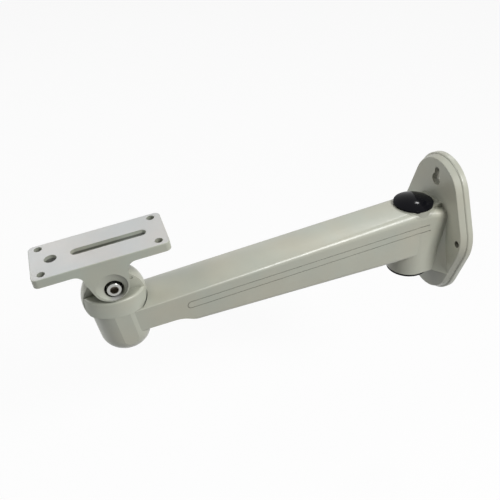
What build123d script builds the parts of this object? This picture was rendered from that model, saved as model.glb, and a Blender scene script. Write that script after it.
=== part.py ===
from build123d import *
from math import radians, sqrt, tan
import os

# Camera wall bracket in millimetres. The origin is the centre of the wall plate's back face,
# the wall lies at X = 0, the arm reaches out along -X and Z is up.

# Wall plate: an upright oval flange with a raised pad
plate_height = 124.0
plate_width = 83.0
plate_end_radius = 30.0
plate_side_radius = 36.5
flange_thickness = 4.8
pad_thickness = 4.9
pad_ledge = 1.2
pad_draft = 21.0
flange_edge_radius = 1.4
pad_edge_radius = 0.8

# Holes in the wall plate
wall_screw_diameter = 5.5
wall_screw_spacing = 69.0
low_screw_z = -45.0
keyhole_head_diameter = 10.0
keyhole_head_z = 42.5
keyhole_rise = 7.5

# Cable column that stands between the arm and the wall plate
column_reach = 29.7
column_radius = 17.2
column_bottom_z = -33.4
column_top_z = 25.8
column_proud = 0.3
collar_top_radius = 16.2
web_half_width = 11.0
gusset_top_z = 20.0
gusset_run = 7.5
gusset_spread = 11.5
gusset_waist_z = -2.0
gusset_waist_share = 0.27
gusset_tip_share = 0.05

# Cable plugs
plug_hole_diameter = 28.0
plug_rim_radius = 15.8
plug_rim_thickness = 1.6
plug_dome_height = 3.2
plug_skirt_wall = 2.0
plug_skirt_depth = 7.0
plug_fit_clearance = 0.15
plug_slot_width = 3.0
plug_tab_width = 3.0
plug_tab_reach = 0.9
plug_tab_angle = -111.0

# Arm: a hollow taper with a crowned top and flat sides
arm_wall = 3.5
arm_tip_reach = 252.0
tip_half_width = 16.3
tip_bottom_z = -10.3
tip_crease_z = 14.5
tip_crown_rise = 4.2
tip_shoulder_radius = 1.2
root_bottom_z = -16.8
root_crease_z = 25.8
root_crown_rise = 0.4
root_shoulder_radius = 6.5
arm_bottom_radius = 4.0
wall_half_width = 19.8
wall_bottom_z = -17.0
wall_crease_z = 21.3
wall_shoulder_radius = 4.0
cavity_end_reach = 242.0

# Relieved underside next to the hub, and the cable outlet in it
relief_start_reach = 214.0
relief_end_reach = 239.0
relief_rise = 7.0
outlet_reach = 222.0
outlet_length = 14.0
outlet_width = 11.0

# Fine relief lines along both flat sides
line_depth = 0.45
line_width = 0.7
strip_width = 5.4
strip_tip_reach = 226.5
strip_tip_z = 5.3
strip_root_reach = 12.0
strip_root_z = 10.6

# Hub at the arm's tip
pan_axis_reach = 276.3
hub_top_z = 14.4
hub_bottom_z = -21.6
hub_top_radius = 18.4
hub_bottom_radius = 18.3
hub_bottom_shift = 6.2
hub_bottom_fillet = 13.5
hub_flat_depth = 0.8
hub_floor_top_z = -1.5
hub_floor_thickness = 5.0

# Swivel knuckle
ball_radius = 22.5
ball_center_z = 22.4
spigot_diameter = 24.0
tilt_axis_z = 38.3
lug_rise = 2.7
lug_radius = 11.0
knuckle_half_width = 18.2
shelf_drop = 10.3
shelf_edge_radius = 2.0
pin_mark_u = 12.8
pin_mark_z = 36.6
pin_mark_diameter = 2.4
pin_mark_depth = 0.5
tongue_foot_width = 38.0

# Camera plate and its two ears
camera_plate_length = 91.0
camera_plate_width = 40.0
camera_plate_thickness = 6.4
camera_plate_rise = 25.6
camera_plate_offset = -2.1
camera_plate_corner = 4.0
camera_plate_edge = 0.7
corner_hole_diameter = 5.5
corner_hole_inset_long = 6.8
corner_hole_inset_wide = 5.2
locating_hole_diameter = 8.5
locating_hole_u = -31.5
slot_width = 7.0
slot_start_u = -14.8
slot_end_u = 29.4
slot_channel_width = 11.6
slot_channel_depth = 2.6
ear_thickness = 13.5
ear_end_radius = 9.5
ear_foot_outer = 20.0
ear_foot_inner = 13.9
ear_blend_radius = 7.0
dish_radius = 8.5
dish_top_radius = 9.9
dish_top_rise = 4.0
dish_top_shift = -0.5
dish_depth = 3.0
head_pocket_diameter = 13.2
head_pocket_depth = 5.9

# Tilt screw M6 with its spring washer and nut
tilt_screw_diameter = 6.0
tilt_screw_length = 30.0
tilt_head_diameter = 10.0
tilt_head_height = 6.0
tilt_hex_size = 5.0
tilt_hex_depth = 3.0
tilt_washer_thickness = 1.5
tilt_washer_diameter = 11.8
tilt_nut_size = 10.0
tilt_nut_thickness = 5.0

# Pan screw M8 with its washers
pan_screw_diameter = 8.0
pan_head_diameter = 13.0
pan_head_height = 8.0
pan_hex_size = 6.0
pan_hex_depth = 4.0
pan_flat_washer_diameter = 16.0
pan_flat_washer_thickness = 1.6
pan_spring_washer_diameter = 14.8
pan_spring_washer_thickness = 2.0
pan_screw_length = 20.0
pan_thread_depth = 13.0
spring_washer_split = 1.0

# Clearances
running_clearance = 0.05
screw_clearance = 0.2
face_gap = 0.1
ball_gap = 0.6
spigot_end_gap = 0.3
ear_gap = 0.2
nut_clearance = 0.1
thread_clearance = 0.01

# Pose in which the head is set
pan_set = -6.7
tilt_set = -5.8

# Derived places
plate_thickness = flange_thickness + pad_thickness
root_half_width = column_radius - column_proud
collar_foot_z = root_crease_z - root_shoulder_radius
ear_inner_y = camera_plate_width / 2 - ear_thickness
tongue_half_width = ear_inner_y - ear_gap
shelf_z = tilt_axis_z - shelf_drop
head_seat_y = camera_plate_width / 2 - dish_depth - head_pocket_depth
tilt_head_y = head_seat_y + tilt_washer_thickness
nut_seat_y = tilt_screw_length - tilt_head_y - tilt_nut_thickness - screw_clearance
hub_floor_bottom_z = hub_floor_top_z - hub_floor_thickness


def yz_plane(x):
    """A sketch plane across the arm, with Y to the right and Z up."""
    return Plane(origin=(x, 0, 0), x_dir=(0, 1, 0), z_dir=(1, 0, 0))


def across(sketch, half_width):
    """A profile drawn in the upright X-Z plane, given its width along Y."""
    return extrude(Plane.XZ * sketch, amount=half_width, both=True)


def upright(sketch, low_z, high_z):
    """A profile drawn on the level plane, standing between two heights."""
    return extrude(Pos(0, 0, low_z) * sketch, amount=high_z - low_z)


def hull_of(*circles):
    """The face that is stretched round circles given as (x, y, radius)."""
    outline = Sketch() + [Pos(x, y) * Circle(radius) for x, y, radius in circles]
    return make_hull(outline.edges())


def plate_outline():
    end_z = plate_height / 2 - plate_end_radius
    side_y = plate_width / 2 - plate_side_radius
    return hull_of(
        (0, end_z, plate_end_radius),
        (0, -end_z, plate_end_radius),
        (side_y, 0, plate_side_radius),
        (-side_y, 0, plate_side_radius),
    )


def wall_plate():
    outline = yz_plane(0) * plate_outline()
    flange = extrude(outline, amount=flange_thickness, dir=(-1, 0, 0))
    flange = fillet(flange.faces().sort_by(Axis.X)[0].edges(), flange_edge_radius)
    foot = offset(plate_outline(), -pad_ledge)
    top = offset(plate_outline(), -pad_ledge - pad_thickness * tan(radians(pad_draft)))
    pad = loft([yz_plane(-flange_thickness) * foot, yz_plane(-plate_thickness) * top])
    pad = fillet(pad.faces().sort_by(Axis.X)[0].edges(), pad_edge_radius)
    return flange + pad


def wall_holes():
    screw = Circle(wall_screw_diameter / 2)
    sides = [Pos(y, 0) * screw for y in (-wall_screw_spacing / 2, wall_screw_spacing / 2)]
    keyhole = Pos(0, keyhole_head_z) * Circle(keyhole_head_diameter / 2)
    keyhole += Pos(0, keyhole_head_z + keyhole_rise) * screw
    keyhole += Pos(0, keyhole_head_z + keyhole_rise / 2) * Rectangle(wall_screw_diameter, keyhole_rise)
    pattern = Sketch() + sides + [Pos(0, low_screw_z) * screw, keyhole]
    depth = plate_thickness + 2 * face_gap
    return extrude(yz_plane(face_gap) * pattern, amount=depth, dir=(-1, 0, 0))


def between(root, tip, reach):
    """A value that changes evenly along the arm, from its root at the column to its tip."""
    share = (reach - column_reach) / (arm_tip_reach - column_reach)
    return root + (tip - root) * share


def crowned_profile(half, foot_half, bottom, crease, rise, shoulder, corner):
    """A profile with flat sides, a crowned top and rounded corners."""
    crown = ThreePointArc((half, crease), (0, crease + rise), (-half, crease))
    sides = Polyline((-half, crease), (-foot_half, bottom), (foot_half, bottom), (half, crease))
    face = make_face([crown, sides])
    face = fillet(face.vertices().group_by(Axis.Y)[0], corner)
    return fillet(face.vertices().group_by(Axis.Y)[-1], shoulder)


def arm_section(reach, inset):
    """The arm's cross-section at a distance from the wall, inset for the hollow."""
    half = between(root_half_width, tip_half_width, reach) - inset
    bottom = between(root_bottom_z, tip_bottom_z, reach) + inset
    crease = between(root_crease_z, tip_crease_z, reach) - inset
    rise = between(root_crown_rise, tip_crown_rise, reach)
    shoulder = max(between(root_shoulder_radius, tip_shoulder_radius, reach) - inset, 0.6)
    corner = max(arm_bottom_radius - inset, 0.6)
    return yz_plane(-reach) * crowned_profile(half, half, bottom, crease, rise, shoulder, corner)


def wall_section():
    """The wider and lower cross-section in which the arm meets the wall plate."""
    return yz_plane(-flange_thickness) * crowned_profile(
        wall_half_width,
        root_half_width,
        wall_bottom_z,
        wall_crease_z,
        root_crown_rise,
        wall_shoulder_radius,
        arm_bottom_radius,
    )


def underside_relief(lift):
    """The space under the raised underside beside the hub, lifted by a wall for the hollow."""
    start_z = between(root_bottom_z, tip_bottom_z, relief_start_reach) + lift
    start = (-relief_start_reach + lift, start_z)
    end = (-relief_end_reach + lift, start_z + relief_rise)
    ramp = Spline(start, end, tangents=[(-1, 0), (-1, 0)])
    low_z = start_z - relief_rise
    rest = Polyline(end, (-pan_axis_reach, end[1]), (-pan_axis_reach, low_z), (start[0], low_z), start)
    return across(make_face([ramp, rest]), 2 * tip_half_width)


def arm_body():
    taper = loft([arm_section(column_reach, 0), arm_section(pan_axis_reach, 0)])
    root = loft([wall_section(), arm_section(column_reach, 0)])
    return taper + root - underside_relief(0)


def arm_hollow():
    taper = loft([arm_section(column_reach, arm_wall), arm_section(cavity_end_reach, arm_wall)])
    mouth = extrude(arm_section(column_reach, arm_wall), amount=column_reach + face_gap, dir=(1, 0, 0))
    return taper + mouth - underside_relief(arm_wall)


def cable_outlet():
    slot = Pos(-outlet_reach, 0) * SlotOverall(outlet_length, outlet_width)
    return upright(slot, root_bottom_z, tip_crease_z - 2 * arm_wall)


def cable_column():
    """A round-ended trunk that runs to the wall plate, and the drafted collar on top of it."""
    foot = Pos(-flange_thickness, 0) * Rectangle(flange_thickness, 2 * column_radius)
    outline = make_hull((Pos(-column_reach, 0) * Circle(column_radius) + foot).edges())
    collar_foot = Pos(-column_reach, 0, collar_foot_z) * Circle(column_radius)
    collar_top = Pos(-column_reach, 0, column_top_z) * Circle(collar_top_radius)
    return upright(outline, column_bottom_z, collar_foot_z) + loft([collar_foot, collar_top])


def web():
    """The web over the arm's root, between the collar and the wall plate."""
    run = column_reach - flange_thickness
    foot = Pos(-flange_thickness - run / 2, 0) * Rectangle(run, 2 * web_half_width)
    return upright(foot, collar_foot_z, column_top_z)


def plug_seat():
    """The room over the column's top, where the plug's rim lies flat."""
    seat = Pos(-column_reach, 0) * Circle(collar_top_radius)
    return upright(seat, column_top_z, column_top_z + plug_rim_thickness)


def gusset_section(height, share):
    """The flare's level cross-section at a height, as a share of its size at the foot."""
    inner_x = -flange_thickness
    face_x = -plate_thickness
    side_y = column_radius
    run = gusset_run * share
    spread = gusset_spread * share
    return Pos(0, 0, height) * Polygon(
        (face_x - run, side_y),
        (face_x, side_y + spread),
        (inner_x, side_y + spread),
        (inner_x, side_y / 2),
        (face_x - run, side_y / 2),
        align=None,
    )


def gussets():
    """The flares that widen the column's flanks towards the foot of the wall plate."""
    foot = gusset_section(column_bottom_z, 1)
    waist = gusset_section(gusset_waist_z, gusset_waist_share)
    flare = loft([foot, waist, gusset_section(gusset_top_z, gusset_tip_share)])
    return flare + mirror(flare, about=Plane.XZ)


def hub_body():
    top = Pos(-pan_axis_reach, 0, hub_top_z) * Circle(hub_top_radius)
    bottom = Pos(-pan_axis_reach + hub_bottom_shift, 0, hub_bottom_z) * Circle(hub_bottom_radius)
    barrel = loft([bottom, top])
    return fillet(barrel.faces().sort_by(Axis.Z)[0].edges(), hub_bottom_fillet)


def hub_flats():
    """What is shaved off both sides of the hub to leave its narrow upright flats."""
    top_y = hub_top_radius - hub_flat_depth
    bottom_y = hub_bottom_radius - hub_flat_depth
    side = Polygon(
        (top_y, hub_top_z),
        (bottom_y, hub_bottom_z),
        (2 * top_y, hub_bottom_z),
        (2 * top_y, hub_top_z),
        align=None,
    )
    shave = extrude(yz_plane(-pan_axis_reach) * side, amount=hub_top_radius / 2, both=True)
    return shave + mirror(shave, about=Plane.XZ)


def ball_room():
    """The room above the hub's rim in which the knuckle's ball turns."""
    ball = Pos(-pan_axis_reach, 0, ball_center_z) * Sphere(ball_radius + ball_gap)
    above = Pos(-pan_axis_reach, 0, hub_top_z) * Box(
        4 * ball_radius, 4 * ball_radius, 4 * ball_radius, align=(Align.CENTER, Align.CENTER, Align.MIN)
    )
    return ball & above


def hub_bores():
    axis = Pos(-pan_axis_reach, 0)
    spigot = upright(axis * Circle(spigot_diameter / 2 + running_clearance), hub_floor_top_z, tilt_axis_z)
    screw = upright(axis * Circle(pan_screw_diameter / 2 + running_clearance), hub_bottom_z, hub_top_z)
    head_radius = pan_flat_washer_diameter / 2 + screw_clearance
    head = upright(axis * Circle(head_radius), hub_bottom_z - 1, hub_floor_bottom_z)
    return spigot + screw + head


def side_plane():
    """A sketch plane that lies on the arm's near side, X towards the wall and Y up."""
    run = arm_tip_reach - column_reach
    narrowing = root_half_width - tip_half_width
    length = sqrt(run**2 + narrowing**2)
    along = (run / length, -narrowing / length, 0)
    outward = (-narrowing / length, -run / length, 0)
    return Plane(origin=(-column_reach, -root_half_width, 0), x_dir=along, z_dir=outward)


def side_lines():
    """The fine hairpin line that is let into both flat sides of the arm."""
    start = Vector(column_reach - strip_tip_reach, strip_tip_z)
    end = Vector(column_reach - strip_root_reach, strip_root_z)
    outer = SlotCenterToCenter((end - start).length, strip_width + line_width)
    inner = SlotCenterToCenter((end - start).length, strip_width - line_width)
    middle = (start + end) / 2
    slope = (end - start).get_angle(Vector(1, 0, 0))
    hairpin = Pos(middle.X, middle.Y) * Rot(0, 0, slope) * (outer - inner)
    groove = extrude(side_plane() * hairpin, amount=line_depth, both=True)
    return groove + mirror(groove, about=Plane.XZ)


def arm_casting():
    body = wall_plate() + cable_column() + gussets() + web() + arm_body() + hub_body()
    body -= hub_flats()
    body -= ball_room()
    body -= hub_bores()
    body -= arm_hollow()
    column_bore = Pos(-column_reach, 0) * Circle(plug_hole_diameter / 2)
    body -= upright(column_bore, column_bottom_z - 1, column_top_z + 1)
    body -= plug_seat()
    body -= cable_outlet()
    body -= side_lines()
    body -= wall_holes()
    return body


def cable_plug():
    """A domed push-in plug, its rim seated at Z = 0 and its skirt below."""
    skirt_radius = plug_hole_diameter / 2 - plug_fit_clearance
    crown_z = plug_rim_thickness + plug_dome_height
    inner_radius = skirt_radius - plug_skirt_wall
    inner_crown_z = crown_z - plug_skirt_wall
    dome = RadiusArc((plug_rim_radius, plug_rim_thickness), (0, crown_z), -dome_radius(plug_rim_radius))
    side = Polyline(
        (0, crown_z),
        (0, inner_crown_z),
        (inner_radius, plug_rim_thickness / 4),
        (inner_radius, -plug_skirt_depth),
        (skirt_radius, -plug_skirt_depth),
        (skirt_radius, 0),
        (plug_rim_radius, 0),
        (plug_rim_radius, plug_rim_thickness),
    )
    plug = revolve(Plane.XZ * make_face([dome, side]), Axis.Z)
    slit_height = plug_skirt_depth - plug_slot_width / 2
    slit = upright(Rectangle(plug_slot_width, 2 * plug_rim_radius), 0, slit_height)
    plug -= Pos(0, 0, -plug_skirt_depth) * (slit + Rot(0, 0, 90) * slit)
    tab = Pos(plug_rim_radius, 0) * Rectangle(2 * plug_tab_reach, plug_tab_width)
    return plug + upright(Rot(0, 0, plug_tab_angle) * tab, 0, plug_rim_thickness)


def dome_radius(chord):
    """The radius of the arc that rises by the dome's height over half a chord."""
    return (chord**2 + plug_dome_height**2) / (2 * plug_dome_height)


def taper_outline(round_z, radius, foot_z, foot_left, foot_right):
    """An upright outline with one round end and straight flanks to a level foot."""
    foot = Polyline((foot_left, foot_z), (foot_right, foot_z))
    return make_hull((Pos(0, round_z) * Circle(radius)).edges() + foot.edges())


def tongue():
    """The flat tongue on top of the ball that stands between the ears."""
    half = tongue_foot_width / 2
    lug_z = tilt_axis_z + lug_rise
    return across(taper_outline(lug_z, lug_radius, ball_center_z, -half, half), tongue_half_width)


def ball_base(seat_z):
    """The knuckle's ball up to its shelf, trimmed front and back to the width of the hub."""
    column = upright(Ellipse(ball_radius, knuckle_half_width), seat_z, shelf_z)
    column = fillet(column.faces().sort_by(Axis.Z)[-1].edges(), shelf_edge_radius)
    return column & Pos(0, 0, ball_center_z) * Sphere(ball_radius)


def ball_slab(seat_z):
    """The slab of the ball that carries the tongue."""
    slab = upright(Rectangle(4 * ball_radius, 2 * tongue_half_width), seat_z, tilt_axis_z + lug_radius)
    return slab & Pos(0, 0, ball_center_z) * Sphere(ball_radius)


def swivel_knuckle():
    """The ball with its spigot, standing on the pan axis at X = 0."""
    seat_z = hub_top_z + face_gap
    body = ball_base(seat_z) + ball_slab(seat_z) + tongue()
    body += upright(Circle(spigot_diameter / 2), hub_floor_top_z + spigot_end_gap, seat_z + 1)
    body -= across(Pos(0, tilt_axis_z) * Circle(tilt_screw_diameter / 2 + running_clearance), ball_radius)
    thread = Circle(pan_screw_diameter / 2 + thread_clearance)
    body -= upright(thread, hub_floor_top_z, hub_floor_top_z + pan_thread_depth)
    mark = Plane.XZ * (Pos(pin_mark_u, pin_mark_z) * Circle(pin_mark_diameter / 2))
    return body - Pos(0, -tongue_half_width, 0) * extrude(mark, amount=-pin_mark_depth)


def plate_openings():
    """Everything that is cut down through the camera plate."""
    holes = Sketch()
    corner_u = camera_plate_length / 2 - corner_hole_inset_long
    corner_v = camera_plate_width / 2 - corner_hole_inset_wide
    for u in (-corner_u, corner_u):
        for v in (-corner_v, corner_v):
            holes += Pos(u, v) * Circle(corner_hole_diameter / 2)
    holes += Pos(locating_hole_u, 0) * Circle(locating_hole_diameter / 2)
    middle = (slot_start_u + slot_end_u) / 2
    travel = slot_end_u - slot_start_u
    holes += Pos(middle, 0) * SlotCenterToCenter(travel, slot_width)
    low_z = camera_plate_rise - camera_plate_thickness
    channel = Pos(middle, 0) * SlotCenterToCenter(travel, slot_channel_width)
    through = upright(holes, low_z - 1, camera_plate_rise + 1)
    return Pos(camera_plate_offset, 0) * (through + upright(channel, low_z - 1, low_z + slot_channel_depth))


def ears():
    foot_z = camera_plate_rise - camera_plate_thickness / 2
    outline = taper_outline(0, ear_end_radius, foot_z, -ear_foot_outer, ear_foot_inner)
    near = Pos(0, -ear_inner_y, 0) * extrude(Plane.XZ * outline, amount=ear_thickness)
    return near + mirror(near, about=Plane.XZ)


def ear_cuts():
    """The screw hole through both ears, the near dish and head pocket and the far nut pocket."""
    outer = camera_plate_width / 2
    hole = across(Circle(tilt_screw_diameter / 2 + screw_clearance), outer + 1)
    egg = hull_of((0, 0, dish_radius), (dish_top_shift, dish_top_rise, dish_top_radius))
    dish = Pos(0, dish_depth - outer, 0) * extrude(Plane.XZ * egg, amount=2 * dish_depth)
    head = Pos(0, -head_seat_y, 0) * extrude(Plane.XZ * Circle(head_pocket_diameter / 2), amount=outer)
    hexagon = RegularPolygon(tilt_nut_size / 2 + nut_clearance, 6, major_radius=False)
    nut = Pos(0, nut_seat_y, 0) * extrude(Plane.XZ * hexagon, amount=-outer)
    return hole + dish + head + nut


def camera_plate():
    """The plate with its two ears, drawn level with the tilt axis at the origin."""
    low_z = camera_plate_rise - camera_plate_thickness
    blank = RectangleRounded(camera_plate_length, camera_plate_width, camera_plate_corner)
    plate = upright(Pos(camera_plate_offset, 0) * blank, low_z, camera_plate_rise)
    body = plate + ears()
    inside = [
        e for e in body.edges().filter_by(Axis.Y)
        if abs(e.center().Z - low_z) < 0.01 and abs(e.length - ear_thickness) < 0.01
    ]
    body = fillet(inside, ear_blend_radius)
    body = fillet(body.faces().sort_by(Axis.Z)[-1].edges(), camera_plate_edge)
    return body - plate_openings() - ear_cuts()


def socket_screw(diameter, head_diameter, head_height, hex_size, hex_depth, length):
    """A socket head screw on the Z axis, with the underside of its head at Z = 0."""
    screw = upright(Circle(diameter / 2), -length, 0) + upright(Circle(head_diameter / 2), 0, head_height)
    screw = fillet(screw.faces().sort_by(Axis.Z)[-1].edges(), head_height / 10)
    key = RegularPolygon(hex_size / 2, 6, major_radius=False)
    return screw - upright(key, head_height - hex_depth, head_height + 1)


def flat_ring(outer_diameter, bore_diameter, thickness):
    """A ring that lies on Z = 0."""
    return upright(Circle(outer_diameter / 2) - Circle(bore_diameter / 2), 0, thickness)


def split_ring(outer_diameter, bore_diameter, thickness):
    """A spring washer drawn flat, with its slanted split."""
    ring = flat_ring(outer_diameter, bore_diameter, thickness)
    gap = Rot(30, 0, 0) * Box(outer_diameter, spring_washer_split, 3 * thickness)
    return ring - Pos(outer_diameter / 2, 0, thickness / 2) * gap


def tilt_fasteners():
    """The screw, spring washer and nut on the tilt axis, drawn about the origin."""
    bore = tilt_screw_diameter + 2 * screw_clearance
    screw = socket_screw(
        tilt_screw_diameter,
        tilt_head_diameter,
        tilt_head_height,
        tilt_hex_size,
        tilt_hex_depth,
        tilt_screw_length,
    )
    washer = split_ring(tilt_washer_diameter, bore, tilt_washer_thickness)
    nut = upright(RegularPolygon(tilt_nut_size / 2, 6, major_radius=False), 0, tilt_nut_thickness)
    nut -= upright(Circle(tilt_screw_diameter / 2 + thread_clearance), -1, tilt_nut_thickness + 1)
    facing_near = Rot(90, 0, 0)
    return {
        "tilt_screw": Pos(0, -tilt_head_y, 0) * facing_near * screw,
        "tilt_spring_washer": Pos(0, -head_seat_y, 0) * facing_near * washer,
        "tilt_nut": Pos(0, nut_seat_y, 0) * Rot(-90, 0, 0) * nut,
    }


def pan_fasteners():
    """The screw and its two washers under the hub's floor, drawn on the pan axis."""
    bore = pan_screw_diameter + 2 * screw_clearance
    flat_z = hub_floor_bottom_z - face_gap
    spring_z = flat_z - pan_flat_washer_thickness
    head_z = spring_z - pan_spring_washer_thickness
    screw = socket_screw(
        pan_screw_diameter,
        pan_head_diameter,
        pan_head_height,
        pan_hex_size,
        pan_hex_depth,
        pan_screw_length,
    )
    facing_down = Rot(180, 0, 0)
    flat = flat_ring(pan_flat_washer_diameter, bore, pan_flat_washer_thickness)
    spring = split_ring(pan_spring_washer_diameter, bore, pan_spring_washer_thickness)
    return {
        "pan_screw": Pos(0, 0, head_z) * facing_down * screw,
        "pan_flat_washer": Pos(0, 0, flat_z) * facing_down * flat,
        "pan_spring_washer": Pos(0, 0, spring_z) * facing_down * spring,
    }


def pieces():
    on_hub = Pos(-pan_axis_reach, 0, 0) * Rot(0, 0, pan_set)
    on_ball = on_hub * Pos(0, 0, tilt_axis_z) * Rot(0, tilt_set, 0)
    column = Pos(-column_reach, 0, 0)
    parts = {
        "arm_casting": arm_casting(),
        "top_cable_plug": column * Pos(0, 0, column_top_z) * cable_plug(),
        "bottom_cable_plug": column * Pos(0, 0, column_bottom_z) * Rot(180, 0, 0) * cable_plug(),
        "swivel_knuckle": on_hub * swivel_knuckle(),
        "camera_plate": on_ball * camera_plate(),
    }
    for name, shape in pan_fasteners().items():
        parts[name] = on_hub * shape
    for name, shape in tilt_fasteners().items():
        parts[name] = on_ball * shape
    return parts


os.makedirs("parts", exist_ok=True)
for name, shape in pieces().items():
    export_step(shape, os.path.join("parts", name + ".step"))
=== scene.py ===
import math

import bmesh
import bpy
from mathutils import Matrix, Vector
from mathutils.geometry import convex_hull_2d


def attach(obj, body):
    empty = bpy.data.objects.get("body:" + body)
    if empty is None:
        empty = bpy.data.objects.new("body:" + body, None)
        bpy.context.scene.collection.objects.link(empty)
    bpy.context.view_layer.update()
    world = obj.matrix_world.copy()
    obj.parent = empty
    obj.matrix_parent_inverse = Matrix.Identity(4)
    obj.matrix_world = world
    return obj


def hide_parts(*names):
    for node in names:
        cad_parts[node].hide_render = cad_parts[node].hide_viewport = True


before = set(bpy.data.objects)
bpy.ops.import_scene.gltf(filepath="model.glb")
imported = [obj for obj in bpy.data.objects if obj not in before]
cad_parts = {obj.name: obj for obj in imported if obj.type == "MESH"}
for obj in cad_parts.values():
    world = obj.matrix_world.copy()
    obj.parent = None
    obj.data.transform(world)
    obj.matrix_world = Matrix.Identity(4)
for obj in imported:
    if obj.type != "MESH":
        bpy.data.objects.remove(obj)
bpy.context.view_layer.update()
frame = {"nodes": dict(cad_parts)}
nodes = frame["nodes"]

# Colours of the materials, as sRGB values from 0 to 255
PAINT_GREY = (183, 184, 172)
PAINT_KNUCKLE = (191, 193, 181)
PAINT_EARS = (182, 185, 174)
# Painted top light: the plate's top face lighter and more neutral than its sides
PLATE_TOP_LIT = (199, 199, 199)
PLUG_BLACK = (17, 17, 21)
STEEL_BRIGHT = (205, 205, 203)
STEEL_SOCKET = (186, 186, 182)
STEEL_BLACK = (26, 26, 24)
# Painted shade inside the tilt screw's socket
RECESS_SHADE_GREY = (95, 89, 80)

# Paint: the warmer and the greener side of a colour, and how far its tone falls and rises. Steel: how dark a
# stain is
SIDE_TINTS = ((1.03, 1.0, 0.95), (0.97, 1.0, 0.99))
TONE_SHIFTS = (0.95, 1.04)
STAIN_TONE = 0.8

# Where the plate's top face looks, and the line that the tilt screw lies on, in metres as all that follows
PLATE_UP = (-0.100366, 0.01179, 0.994881)
TILT_POINT = (-0.2763, 0.0, 0.0383)
TILT_AXIS = (0.11667, 0.993171, 0.0)

# The recess in the tilt screw's head, painted as shade: the radius that is all dark, and the soft edge round
# it
RECESS_RADIUS = 0.0028
RECESS_SOFT = 0.0004

# Ear outlines in the plate's own frame about the tilt line: the feet (across, up), and the round end as cast
# and as seen (across, up, radius)
EAR_FEET = ((-0.020, 0.0224), (0.0139, 0.0224))
CAST_END = (0.0, 0.0, 0.0095)
SEEN_END = (-0.00117, 0.00464, 0.0122)

# What keeps its place: the seats round the screw and the nut, what lies between the ears, and all above their
# top, below which the change of outline fades in
POCKET_RADIUS = 0.0066
EAR_INNER = 0.0064
EAR_TOP = 0.0170
EAR_FADE = 0.0070

# The ears are cut level in steps, so that their sides can follow the new outline, which has this many points
# to a circle. Edges sharper than the angle, in degrees, stay sharp
CUT_STEP = 0.001
CUT_LEVELS = range(-8, 19)
ROUND_POINTS = 180
SHARP_ANGLE = 22

# How near two points count as one, a point as on a plane or an edge, and two directions as parallel
SAME_POINT = 1e-7
ON_PLANE = 1e-5
ON_EDGE = 1e-6
PARALLEL = 1e-12

# The dish round the screw: two circles (across, up, radius), the place of its floor along the screw, and how
# far the floor rises to its rim
DISH_CIRCLES = ((0.0, 0.0, 0.0085), (-0.0005, 0.004, 0.0099))
DISH_FLOOR = -0.0170
DISH_RISE = 0.0024

# The column's axis, and the foot plug's rim: the radius beyond which it is spread, and how far
COLUMN_AT = (-0.0297, 0.0)
RIM_INNER = 0.0145
RIM_SPREAD = 0.0014

# Painted shade low on the walls of the slot and the locating hole: half width, soft edge, the levels over the
# tilt line where the shade starts and is full, and its tone
SLOT_HALF = 0.005
SLOT_SOFT = 0.0003
SLOT_LEVELS = (0.0234, 0.0228)
SLOT_SHADE_TONE = 0.3

# Painted shade in a collar band round the cap: radii, soft edge, the heights between which it sets in, and its
# tone
BAND_INNER = 0.0160
BAND_OUTER = 0.0178
BAND_SOFT = 0.0004
BAND_LEVELS = (0.020, 0.022)
BAND_SHADE_TONE = 0.8

# Painted shade in the narrow places: how far away a neighbour still counts, the open shares at which the
# painted shade is full and gone, and how dark the deepest spot is
CREVICE_REACH = 0.010
CREVICE_OPEN = (0.2, 0.85)
CREVICE_SHADE_TONE = 0.5

# The plate's lighter top colour, a painted top light, sets in where the surface turns towards its top face:
# cosines of the angle
TOP_FACING = (0.75, 0.97)

# The middle of a noise texture's values, which is spread over a whole range
NOISE_RANGE = (0.3, 0.7)

# Camera: focal length over the sensor's width, place in metres and turn in degrees
LENS_MM = 51.23
SENSOR_MM = 36.0
CAMERA_CLIP = (0.01, 60.0)
CAMERA_AT = (-0.33815, -0.39754, 0.32389)
CAMERA_TURN = (55.243, 2.215, -24.126)

# Studio: the floor and the world look white, and light the object less. Bounce and light are what they send to
# the object, and seen and glow are the floor's colour and its share of glow as the camera sees it
FLOOR_Z = -0.20
FLOOR_SIZE = 12.0
FLOOR_BOUNCE = 0.35
FLOOR_SEEN = 0.9
FLOOR_GLOW = 0.93
WORLD_LIGHT = 0.05
LOOK_AT = (-0.15, 0.0, 0.02)
LAMP_DISTANCE = 1.3

# Each lamp: the side that it stands on, counted from +X towards +Y, and its height, both in degrees, its size
# in metres and its power in watts
LAMPS = {
    "key": (300, 40, 0.45, 14.4),
    "far": (180, 55, 0.45, 2.5),
    "back": (165, 24, 0.45, 3.9),
    "side": (105, 24, 0.45, 1.3),
    "glint": (38, 46, 0.10, 2.2),
}


def linear(rgb):
    """sRGB values from 0 to 255 as the linear colour that a shader takes."""
    out = []
    for value in rgb:
        share = value / 255
        out.append(share / 12.92 if share <= 0.04045 else ((share + 0.055) / 1.055) ** 2.4)
    return (*out, 1.0)


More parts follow.
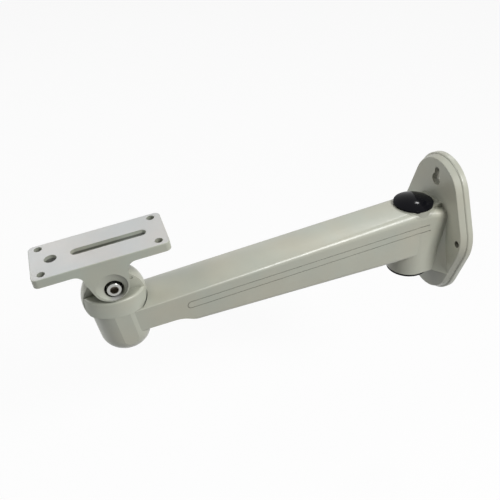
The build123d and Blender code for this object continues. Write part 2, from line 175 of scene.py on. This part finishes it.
class Nodes:
    """A material's node tree, with short calls for making and joining its nodes."""

    def __init__(self, name):
        self.material = bpy.data.materials.new(name)
        self.material.use_nodes = True
        self.tree = self.material.node_tree
        self.tree.nodes.clear()
        self.output = self.add("ShaderNodeOutputMaterial")
        self.shader = self.add("ShaderNodeBsdfPrincipled")
        self.join(self.shader, 0, self.output, 0)
        self.place = self.add("ShaderNodeTexCoord")

    def add(self, kind, inputs=None, **settings):
        """A new node with some of its inputs and settings."""
        node = self.tree.nodes.new(kind)
        for key, value in settings.items():
            setattr(node, key, value)
        for key, value in (inputs or {}).items():
            node.inputs[key].default_value = value
        return node

    def join(self, source, out, target, into):
        self.tree.links.new(source.outputs[out], target.inputs[into])

    def noise(self, scale, detail=3.0, rough=0.5):
        """A noise over the piece, with about so many waves to the metre."""
        node = self.add("ShaderNodeTexNoise", {"Scale": scale, "Detail": detail, "Roughness": rough})
        self.join(self.place, "Object", node, "Vector")
        return node

    def spread(self, source, out, start, end, low=0.0, high=1.0):
        """A value of a node that goes from low to high while it runs from start to end."""
        node = self.add(
            "ShaderNodeMapRange",
            {"From Min": start, "From Max": end, "To Min": low, "To Max": high},
        )
        self.join(source, out, node, "Value")
        return node

    def ramp(self, noise, low, high):
        """The middle values of a noise spread from low to high."""
        return self.spread(noise, "Fac", *NOISE_RANGE, low, high)

    def bump(self, noise, distance, strength, after=None):
        """A relief from a noise, on top of another one."""
        node = self.add("ShaderNodeBump", {"Distance": distance, "Strength": strength})
        self.join(noise, "Fac", node, "Height")
        if after:
            self.join(after, "Normal", node, "Normal")
        return node

    def vector(self, operation, source, out, value=None):
        """A vector sum on a node's output, with a fixed second vector where it takes one."""
        node = self.add("ShaderNodeVectorMath", operation=operation)
        self.join(source, out, node, 0)
        if value:
            node.inputs[1].default_value = value
        return node

    def times(self, first, first_out, second, second_out):
        """The product of two values."""
        node = self.add("ShaderNodeMath", operation="MULTIPLY")
        self.join(first, first_out, node, 0)
        self.join(second, second_out, node, 1)
        return node

    def blend(self, share, first, second):
        """Two colours mixed by a share. A colour is a node with a Result, or a fixed value."""
        node = self.add("ShaderNodeMix", data_type="RGBA")
        self.join(share, "Result", node, "Factor")
        for name, colour in (("A", first), ("B", second)):
            if isinstance(colour, tuple):
                node.inputs[name].default_value = colour
            else:
                self.join(colour, "Result", node, name)
        return node


def shades(mat, colour, tone, hue):
    """A painted colour that shifts a little in tone, and between a warmer and a greener side."""
    base = linear(colour)[:3]
    sides = []
    for tint in SIDE_TINTS:
        dark, light = ([c * t * shift for c, t in zip(base, tint)] for shift in TONE_SHIFTS)
        sides.append(mat.blend(tone, (*dark, 1.0), (*(min(c, 1.0) for c in light), 1.0)))
    return mat.blend(hue, *sides)


def collar_shade(mat):
    """Painted shade round the cap: the casting darker in the band of the collar that carries it."""
    away = mat.vector("SUBTRACT", mat.place, "Object", (*COLUMN_AT, 0.0))
    level = mat.vector("MULTIPLY", away, "Vector", (1.0, 1.0, 0.0))
    gap = mat.vector("LENGTH", level, "Vector")
    inner = mat.spread(gap, "Value", BAND_INNER - BAND_SOFT, BAND_INNER)
    outer = mat.spread(gap, "Value", BAND_OUTER + BAND_SOFT, BAND_OUTER)
    height = mat.add("ShaderNodeSeparateXYZ")
    mat.join(mat.place, "Object", height, 0)
    high = mat.spread(height, "Z", *BAND_LEVELS)
    ring = mat.times(inner, "Result", outer, "Result")
    band = mat.times(ring, "Value", high, "Result")
    return mat.spread(band, "Value", 0.0, 1.0, 1.0, BAND_SHADE_TONE)


def slot_shade(mat):
    """Painted shade in the plate's slot: darker low on its walls."""
    away = mat.vector("SUBTRACT", mat.place, "Object", TILT_POINT)
    across, height = (mat.vector("DOT_PRODUCT", away, "Vector", way) for way in (TILT_AXIS, PLATE_UP))
    side = mat.add("ShaderNodeMath", operation="ABSOLUTE")
    mat.join(across, "Value", side, 0)
    near = mat.spread(side, "Value", SLOT_HALF, SLOT_HALF - SLOT_SOFT)
    low = mat.spread(height, "Value", *SLOT_LEVELS)
    both = mat.times(near, "Result", low, "Result")
    return mat.spread(both, "Value", 0.0, 1.0, 1.0, SLOT_SHADE_TONE)


def paint(name, colour, lit_top_colour=None, top_way=None, shade_marks=None, coat=0.3):
    """Sprayed satin enamel over a cast surface: a fine peel, slow shifts of tone, a soft gloss and painted
    shade.
    """
    mat = Nodes(name)
    tone = mat.ramp(mat.noise(scale=24.0, detail=4.0, rough=0.55), 0.0, 1.0)
    hue = mat.ramp(mat.noise(scale=33.0, detail=2.0, rough=0.4), 0.0, 1.0)
    skin = shades(mat, colour, tone, hue)
    # Painted top light: a lighter copy of the paint on faces that turn up
    if lit_top_colour:
        facing = mat.vector("DOT_PRODUCT", mat.place, "Normal", top_way)
        share = mat.spread(facing, "Value", *TOP_FACING)
        skin = mat.blend(share, skin, shades(mat, lit_top_colour, tone, hue))
    # Painted shade: the colour darkens where nearby surfaces close in, as in slots, holes and joints
    open_air = mat.add("ShaderNodeAmbientOcclusion", {"Distance": CREVICE_REACH}, samples=8)
    painted_shade = mat.spread(open_air, "AO", *CREVICE_OPEN, CREVICE_SHADE_TONE, 1.0)
    # Painted shade from the given masks, such as the collar band and the slot walls
    if shade_marks:
        painted_shade = mat.times(shade_marks(mat), "Result", painted_shade, "Result")
    shaded_skin = mat.add("ShaderNodeVectorMath", operation="SCALE")
    mat.join(skin, "Result", shaded_skin, 0)
    mat.join(painted_shade, 0, shaded_skin, "Scale")
    mat.join(shaded_skin, "Vector", mat.shader, "Base Color")
    rough = mat.ramp(mat.noise(scale=90.0, detail=2.0), low=0.34, high=0.44)
    mat.join(rough, "Result", mat.shader, "Roughness")
    peel = mat.bump(mat.noise(scale=900.0, detail=2.0), distance=0.00004, strength=0.35)
    cast = mat.bump(mat.noise(scale=130.0), distance=0.00012, strength=0.25, after=peel)
    mat.join(cast, "Normal", mat.shader, "Normal")
    mat.shader.inputs["Specular IOR Level"].default_value = 0.5
    mat.shader.inputs["Coat Weight"].default_value = coat
    mat.shader.inputs["Coat Roughness"].default_value = 0.27
    return mat.material


def plastic(name, colour):
    """Glossy moulded plastic with faint handling marks."""
    mat = Nodes(name)
    mat.shader.inputs["Base Color"].default_value = linear(colour)
    rough = mat.ramp(mat.noise(scale=160.0, detail=5.0, rough=0.6), low=0.07, high=0.12)
    mat.join(rough, "Result", mat.shader, "Roughness")
    skin = mat.bump(mat.noise(scale=300.0, detail=2.0), distance=0.00005, strength=0.2)
    mat.join(skin, "Normal", mat.shader, "Normal")
    mat.shader.inputs["Specular IOR Level"].default_value = 0.05
    return mat.material


def steel(name, colour, rough_low, rough_high, recess=None):
    """Plated steel with small stains, and painted shade inside a recess round a line through a point."""
    mat = Nodes(name)
    base = linear(colour)
    share = mat.ramp(mat.noise(scale=500.0, detail=4.0, rough=0.6), 0.0, 1.0)
    stain_and_shade = mat.blend(share, (*(c * STAIN_TONE for c in base[:3]), 1.0), base)
    if recess:
        point, line, radius = recess
        away = mat.vector("SUBTRACT", mat.place, "Object", point)
        across = mat.vector("CROSS_PRODUCT", away, "Vector", line)
        gap = mat.vector("LENGTH", across, "Vector")
        outside = mat.spread(gap, "Value", radius, radius + RECESS_SOFT)
        stain_and_shade = mat.blend(outside, linear(RECESS_SHADE_GREY), stain_and_shade)
    mat.join(stain_and_shade, "Result", mat.shader, "Base Color")
    mat.shader.inputs["Metallic"].default_value = 1.0
    rough = mat.ramp(mat.noise(scale=900.0), rough_low, rough_high)
    mat.join(rough, "Result", mat.shader, "Roughness")
    return mat.material


def stand_in(node, body):
    """A copy of a CAD node, to be shown in its place."""
    copy = bpy.data.objects.new(node + "_seen", nodes[node].data.copy())
    bpy.context.scene.collection.objects.link(copy)
    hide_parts(node)
    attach(copy, body)
    nodes[node] = copy
    return copy


def reach(outline, way):
    """How far the convex outline lies from the origin in a direction."""
    furthest = 0.0
    for a, b in zip(outline, outline[1:] + outline[:1]):
        edge = b - a
        across = way.cross(edge)
        if abs(across) > PARALLEL:
            t, s = a.cross(edge) / across, a.cross(way) / across
            if t > 0 and -ON_EDGE <= s <= 1 + ON_EDGE:
                furthest = max(furthest, t)
    return furthest


def outline_round(circles, corners=()):
    """The tight outline round some circles and corners, in the plate's own frame."""
    turns = [math.radians(360 / ROUND_POINTS * step) for step in range(ROUND_POINTS)]
    points = [Vector(corner) for corner in corners]
    for u, w, radius in circles:
        points += [Vector((u + radius * math.cos(t), w + radius * math.sin(t))) for t in turns]
    return [points[i] for i in convex_hull_2d(points)]


def round_ears(plate):
    """Gives the ears the fuller, shorter end of the photo, and slopes the floor of the dish up to its rim."""
    up, line = Vector(PLATE_UP), Vector(TILT_AXIS)
    turn = Matrix((line.cross(up), line, up))
    pivot = Vector(TILT_POINT)
    cast, seen = outline_round([CAST_END], EAR_FEET), outline_round([SEEN_END], EAR_FEET)
    dish = outline_round(DISH_CIRCLES)
    mesh = bmesh.new()
    mesh.from_mesh(plate.data)
    bmesh.ops.remove_doubles(mesh, verts=mesh.verts, dist=SAME_POINT)
    for step in CUT_LEVELS:
        level = pivot + up * step * CUT_STEP
        low = [f for f in mesh.faces if any(up.dot(v.co - pivot) < EAR_TOP for v in f.verts)]
        parts = {v for f in low for v in f.verts} | {e for f in low for e in f.edges} | set(low)
        bmesh.ops.bisect_plane(mesh, geom=list(parts), dist=SAME_POINT, plane_co=level, plane_no=up)
    for vert in mesh.verts:
        u, v, w = turn @ (vert.co - pivot)
        flat = Vector((u, w))
        if w > EAR_TOP or abs(v) < EAR_INNER or flat.length <= POCKET_RADIUS:
            continue
        way = flat.normalized()
        old, new = reach(cast, way), reach(seen, way)
        share = min((flat.length - POCKET_RADIUS) / (old - POCKET_RADIUS), 1.0)
        share *= min((EAR_TOP - w) / EAR_FADE, 1.0)
        if abs(v - DISH_FLOOR) < ON_PLANE:
            v -= DISH_RISE * (flat.length - POCKET_RADIUS) / (reach(dish, way) - POCKET_RADIUS)
        moved = way * (flat.length + share * (new - old))
        vert.co = pivot + turn.transposed() @ Vector((moved.x, v, moved.y))
    mesh.to_mesh(plate.data)
    mesh.free()
    if "custom_normal" in plate.data.attributes:
        plate.data.attributes.remove(plate.data.attributes["custom_normal"])
    plate.data.shade_smooth()
    plate.data.set_sharp_from_angle(angle=math.radians(SHARP_ANGLE))
    flats = plate.modifiers.new("flats", "WEIGHTED_NORMAL")
    flats.weight = 100
    flats.keep_sharp = True


def widen_rim(plug):
    """Spreads the foot plug's rim until it shows as the thin black line under the column."""
    for vert in plug.data.vertices:
        flat = Vector((vert.co.x - COLUMN_AT[0], vert.co.y - COLUMN_AT[1]))
        if flat.length > RIM_INNER:
            flat = flat.normalized() * (flat.length + RIM_SPREAD)
            vert.co.x, vert.co.y = COLUMN_AT[0] + flat.x, COLUMN_AT[1] + flat.y


def dress(material, names):
    """Puts a material on all slots of some nodes."""
    for name in names:
        for slot in nodes[name].material_slots:
            slot.material = material


def make_materials():
    dress(paint("paint_casting", PAINT_GREY, shade_marks=collar_shade), ["arm_casting"])
    dress(paint("paint_knuckle", PAINT_KNUCKLE), ["swivel_knuckle"])
    dress(
        paint("paint_plate", PAINT_EARS, PLATE_TOP_LIT, PLATE_UP, shade_marks=slot_shade, coat=0.1),
        ["camera_plate"],
    )
    dress(plastic("plug_black", PLUG_BLACK), ["top_cable_plug", "bottom_cable_plug"])
    dress(steel("steel_bright", STEEL_BRIGHT, 0.12, 0.24), ["tilt_nut", "pan_screw"])
    dress(
        steel("steel_socket", STEEL_SOCKET, 0.18, 0.30, recess=(TILT_POINT, TILT_AXIS, RECESS_RADIUS)),
        ["tilt_screw"],
    )
    dress(
        steel("steel_black", STEEL_BLACK, 0.35, 0.50),
        ["tilt_spring_washer", "pan_flat_washer", "pan_spring_washer"],
    )


def make_camera():
    data = bpy.data.cameras.new("camera")
    data.lens = LENS_MM
    data.sensor_width = SENSOR_MM
    data.clip_start, data.clip_end = CAMERA_CLIP
    camera = bpy.data.objects.new("camera", data)
    camera.location = CAMERA_AT
    camera.rotation_euler = [math.radians(angle) for angle in CAMERA_TURN]
    bpy.context.scene.collection.objects.link(camera)
    bpy.context.scene.camera = camera


def make_lamps():
    target = Vector(LOOK_AT)
    for name, (side, height, size, watts) in LAMPS.items():
        level = LAMP_DISTANCE * math.cos(math.radians(height))
        away = Vector((math.cos(math.radians(side)) * level, math.sin(math.radians(side)) * level, 0.0))
        place = target + away + Vector((0.0, 0.0, LAMP_DISTANCE * math.sin(math.radians(height))))
        data = bpy.data.lights.new(name, "AREA")
        data.shape = "SQUARE"
        data.size = size
        data.energy = watts
        lamp = bpy.data.objects.new(name, data)
        lamp.location = place
        lamp.rotation_euler = (place - target).to_track_quat("Z", "Y").to_euler()
        bpy.context.scene.collection.objects.link(lamp)


def seen_plainly(tree):
    """1 for camera, mirror and see-through rays, and 0 for the rays that light the object."""
    path = tree.nodes.new("ShaderNodeLightPath")
    highest = path.outputs["Is Camera Ray"]
    for kind in ("Is Glossy Ray", "Is Transmission Ray"):
        larger = tree.nodes.new("ShaderNodeMath")
        larger.operation = "MAXIMUM"
        tree.links.new(highest, larger.inputs[0])
        tree.links.new(path.outputs[kind], larger.inputs[1])
        highest = larger.outputs[0]
    return highest


def make_world():
    world = bpy.data.worlds.new("studio")
    bpy.context.scene.world = world
    world.use_nodes = True
    tree = world.node_tree
    background = tree.nodes["Background"]
    background.inputs["Color"].default_value = (1.0, 1.0, 1.0, 1.0)
    strength = tree.nodes.new("ShaderNodeMapRange")
    strength.inputs["To Min"].default_value = WORLD_LIGHT
    strength.inputs["To Max"].default_value = 1.0
    tree.links.new(seen_plainly(tree), strength.inputs["Value"])
    tree.links.new(strength.outputs[0], background.inputs["Strength"])


def make_floor():
    mesh = bpy.data.meshes.new("floor")
    half = FLOOR_SIZE / 2
    corners = [(x * half, y * half, FLOOR_Z) for x, y in ((-1, -1), (1, -1), (1, 1), (-1, 1))]
    mesh.from_pydata(corners, [], [(0, 1, 2, 3)])
    floor = bpy.data.objects.new("floor", mesh)
    bpy.context.scene.collection.objects.link(floor)
    material = bpy.data.materials.new("floor_white")
    material.use_nodes = True
    tree = material.node_tree
    tree.nodes.clear()
    output = tree.nodes.new("ShaderNodeOutputMaterial")
    matt = tree.nodes.new("ShaderNodeBsdfDiffuse")
    glow = tree.nodes.new("ShaderNodeEmission")
    seen = seen_plainly(tree)
    shade = tree.nodes.new("ShaderNodeMapRange")
    shade.inputs["To Min"].default_value = FLOOR_BOUNCE
    shade.inputs["To Max"].default_value = FLOOR_SEEN
    tree.links.new(seen, shade.inputs["Value"])
    tree.links.new(shade.outputs[0], matt.inputs["Color"])
    share = tree.nodes.new("ShaderNodeMath")
    share.operation = "MULTIPLY"
    share.inputs[1].default_value = FLOOR_GLOW
    mix = tree.nodes.new("ShaderNodeMixShader")
    tree.links.new(seen, share.inputs[0])
    tree.links.new(share.outputs[0], mix.inputs["Fac"])
    tree.links.new(matt.outputs[0], mix.inputs[1])
    tree.links.new(glow.outputs[0], mix.inputs[2])
    tree.links.new(mix.outputs[0], output.inputs[0])
    mesh.materials.append(material)


make_camera()
round_ears(stand_in("camera_plate", "plate"))
widen_rim(stand_in("bottom_cable_plug", "base"))
make_materials()
make_world()
make_floor()
make_lamps()
bpy.context.scene.view_settings.view_transform = "Standard"
